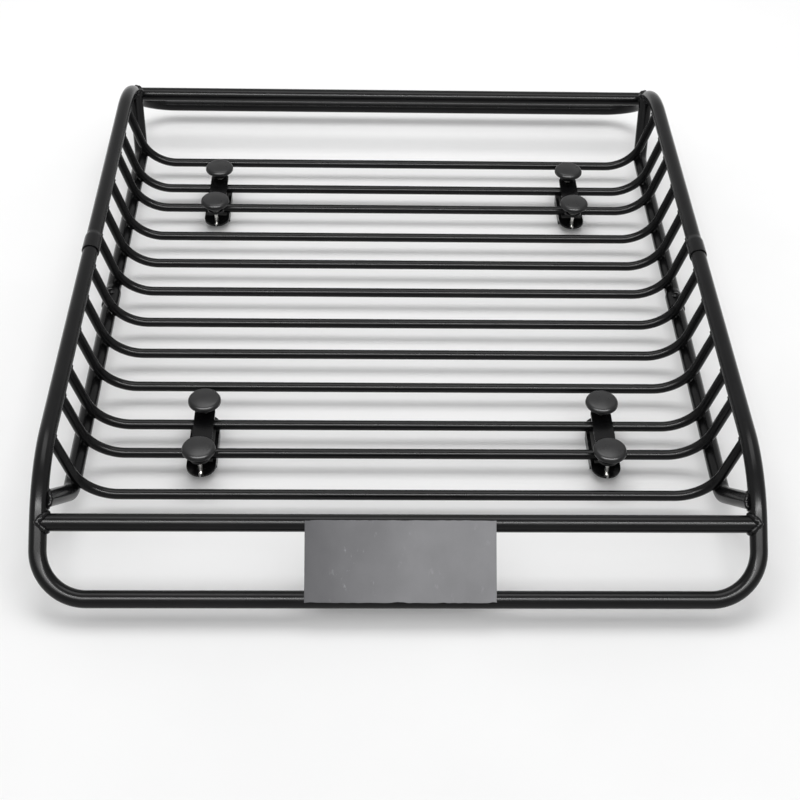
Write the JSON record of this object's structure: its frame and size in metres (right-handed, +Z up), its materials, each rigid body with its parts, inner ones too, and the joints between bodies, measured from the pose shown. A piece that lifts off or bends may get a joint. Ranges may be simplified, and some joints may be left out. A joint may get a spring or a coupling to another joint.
{
  "type": "roof cargo basket",
  "caption": "Shallow open basket of bent round tube with raised side rails, sloping ends and a floor of cross bars, held to roof bars by hand-knob clamps.",
  "frame": {"origin": "middle of the surface that the basket stands on, under its clamps", "axes": "+X to the right across the vehicle, +Y towards the rear end, +Z up; the name plate is at the -Y end"},
  "size_m": [0.9176, 1.1683, 0.1507],
  "materials": {
    "powder_coated_steel": "satin black powder coat",
    "plate_metal": "matt grey plate",
    "zinc": "bright zinc",
    "knob_plastic": "moulded, fine texture",
    "pad_rubber": "matt black"
  },
  "bodies": {
    "basket": {"front_hoop": "powder_coated_steel", "rear_hoop": "powder_coated_steel", "front_upper_cross_tube": "powder_coated_steel", "rear_upper_cross_tube": "powder_coated_steel", "front_left_lower_rail": "powder_coated_steel", "front_right_lower_rail": "powder_coated_steel", "rear_left_lower_rail": "powder_coated_steel", "rear_right_lower_rail": "powder_coated_steel", "name_plate": "plate_metal", "joint_bolts": "powder_coated_steel", "joint_nuts": "powder_coated_steel", "crossbar_01": "powder_coated_steel", "crossbar_02": "powder_coated_steel", "crossbar_03": "powder_coated_steel", "crossbar_04": "powder_coated_steel", "crossbar_05": "powder_coated_steel", "crossbar_06": "powder_coated_steel", "crossbar_07": "powder_coated_steel", "crossbar_08": "powder_coated_steel", "crossbar_09": "powder_coated_steel", "crossbar_10": "powder_coated_steel", "crossbar_11": "powder_coated_steel", "crossbar_12": "powder_coated_steel"},
    "front_left_carriage": {"front_left_top_plate": "powder_coated_steel", "front_left_washers": "zinc"},
    "front_left_knob_a": {"front_left_front_knob": "knob_plastic", "front_left_front_knob_insert": "zinc"},
    "front_left_knob_b": {"front_left_rear_knob": "knob_plastic", "front_left_rear_knob_insert": "zinc"},
    "front_left_jaw": {"front_left_bracket": "powder_coated_steel", "front_left_pad": "pad_rubber", "front_left_bolts": "zinc"},
    "front_right_carriage": {"front_right_top_plate": "powder_coated_steel", "front_right_washers": "zinc"},
    "front_right_knob_a": {"front_right_front_knob": "knob_plastic", "front_right_front_knob_insert": "zinc"},
    "front_right_knob_b": {"front_right_rear_knob": "knob_plastic", "front_right_rear_knob_insert": "zinc"},
    "front_right_jaw": {"front_right_bracket": "powder_coated_steel", "front_right_pad": "pad_rubber", "front_right_bolts": "zinc"},
    "rear_left_carriage": {"rear_left_top_plate": "powder_coated_steel", "rear_left_washers": "zinc"},
    "rear_left_knob_a": {"rear_left_front_knob": "knob_plastic", "rear_left_front_knob_insert": "zinc"},
    "rear_left_knob_b": {"rear_left_rear_knob": "knob_plastic", "rear_left_rear_knob_insert": "zinc"},
    "rear_left_jaw": {"rear_left_bracket": "powder_coated_steel", "rear_left_pad": "pad_rubber", "rear_left_bolts": "zinc"},
    "rear_right_carriage": {"rear_right_top_plate": "powder_coated_steel", "rear_right_washers": "zinc"},
    "rear_right_knob_a": {"rear_right_front_knob": "knob_plastic", "rear_right_front_knob_insert": "zinc"},
    "rear_right_knob_b": {"rear_right_rear_knob": "knob_plastic", "rear_right_rear_knob_insert": "zinc"},
    "rear_right_jaw": {"rear_right_bracket": "powder_coated_steel", "rear_right_pad": "pad_rubber", "rear_right_bolts": "zinc"}
  },
  "joints": [
    {"name": "front_left_clamp_slide", "type": "slide", "parent": "basket", "child": "front_left_carriage", "axis": [1, 0, 0], "range_m": [-0.073, 0.227]},
    {"name": "front_left_knob_a_turn", "type": "hinge", "parent": "front_left_carriage", "child": "front_left_knob_a", "pos_m": [-0.267, -0.33415, 0.039], "axis": [0, 0, 1], "range_deg": [0, 3600]},
    {"name": "front_left_knob_b_turn", "type": "hinge", "parent": "front_left_carriage", "child": "front_left_knob_b", "pos_m": [-0.267, -0.23915, 0.039], "axis": [0, 0, 1], "range_deg": [0, 3600]},
    {"name": "front_left_jaw_drop", "type": "slide", "parent": "front_left_carriage", "child": "front_left_jaw", "axis": [0, 0, -1], "range_m": [0, 0.01]},
    {"name": "front_right_clamp_slide", "type": "slide", "parent": "basket", "child": "front_right_carriage", "axis": [1, 0, 0], "range_m": [-0.246, 0.054]},
    {"name": "front_right_knob_a_turn", "type": "hinge", "parent": "front_right_carriage", "child": "front_right_knob_a", "pos_m": [0.286, -0.33415, 0.039], "axis": [0, 0, 1], "range_deg": [0, 3600]},
    {"name": "front_right_knob_b_turn", "type": "hinge", "parent": "front_right_carriage", "child": "front_right_knob_b", "pos_m": [0.286, -0.23915, 0.039], "axis": [0, 0, 1], "range_deg": [0, 3600]},
    {"name": "front_right_jaw_drop", "type": "slide", "parent": "front_right_carriage", "child": "front_right_jaw", "axis": [0, 0, -1], "range_m": [0, 0.01]},
    {"name": "rear_left_clamp_slide", "type": "slide", "parent": "basket", "child": "rear_left_carriage", "axis": [1, 0, 0], "range_m": [-0.05, 0.25]},
    {"name": "rear_left_knob_a_turn", "type": "hinge", "parent": "rear_left_carriage", "child": "rear_left_knob_a", "pos_m": [-0.29, 0.23915, 0.039], "axis": [0, 0, 1], "range_deg": [0, 3600]},
    {"name": "rear_left_knob_b_turn", "type": "hinge", "parent": "rear_left_carriage", "child": "rear_left_knob_b", "pos_m": [-0.29, 0.33415, 0.039], "axis": [0, 0, 1], "range_deg": [0, 3600]},
    {"name": "rear_left_jaw_drop", "type": "slide", "parent": "rear_left_carriage", "child": "rear_left_jaw", "axis": [0, 0, -1], "range_m": [0, 0.01]},
    {"name": "rear_right_clamp_slide", "type": "slide", "parent": "basket", "child": "rear_right_carriage", "axis": [1, 0, 0], "range_m": [-0.257, 0.043]},
    {"name": "rear_right_knob_a_turn", "type": "hinge", "parent": "rear_right_carriage", "child": "rear_right_knob_a", "pos_m": [0.297, 0.23915, 0.039], "axis": [0, 0, 1], "range_deg": [0, 3600]},
    {"name": "rear_right_knob_b_turn", "type": "hinge", "parent": "rear_right_carriage", "child": "rear_right_knob_b", "pos_m": [0.297, 0.33415, 0.039], "axis": [0, 0, 1], "range_deg": [0, 3600]},
    {"name": "rear_right_jaw_drop", "type": "slide", "parent": "rear_right_carriage", "child": "rear_right_jaw", "axis": [0, 0, -1], "range_m": [0, 0.01]}
  ],
  "couplings": [
    {"joint": "front_left_knob_a_turn", "follows": "front_left_jaw_drop", "rad_per_m": 6283.2},
    {"joint": "front_left_knob_b_turn", "follows": "front_left_jaw_drop", "rad_per_m": 6283.2},
    {"joint": "front_right_knob_a_turn", "follows": "front_right_jaw_drop", "rad_per_m": 6283.2},
    {"joint": "front_right_knob_b_turn", "follows": "front_right_jaw_drop", "rad_per_m": 6283.2},
    {"joint": "rear_left_knob_a_turn", "follows": "rear_left_jaw_drop", "rad_per_m": 6283.2},
    {"joint": "rear_left_knob_b_turn", "follows": "rear_left_jaw_drop", "rad_per_m": 6283.2},
    {"joint": "rear_right_knob_a_turn", "follows": "rear_right_jaw_drop", "rad_per_m": 6283.2},
    {"joint": "rear_right_knob_b_turn", "follows": "rear_right_jaw_drop", "rad_per_m": 6283.2}
  ]
}
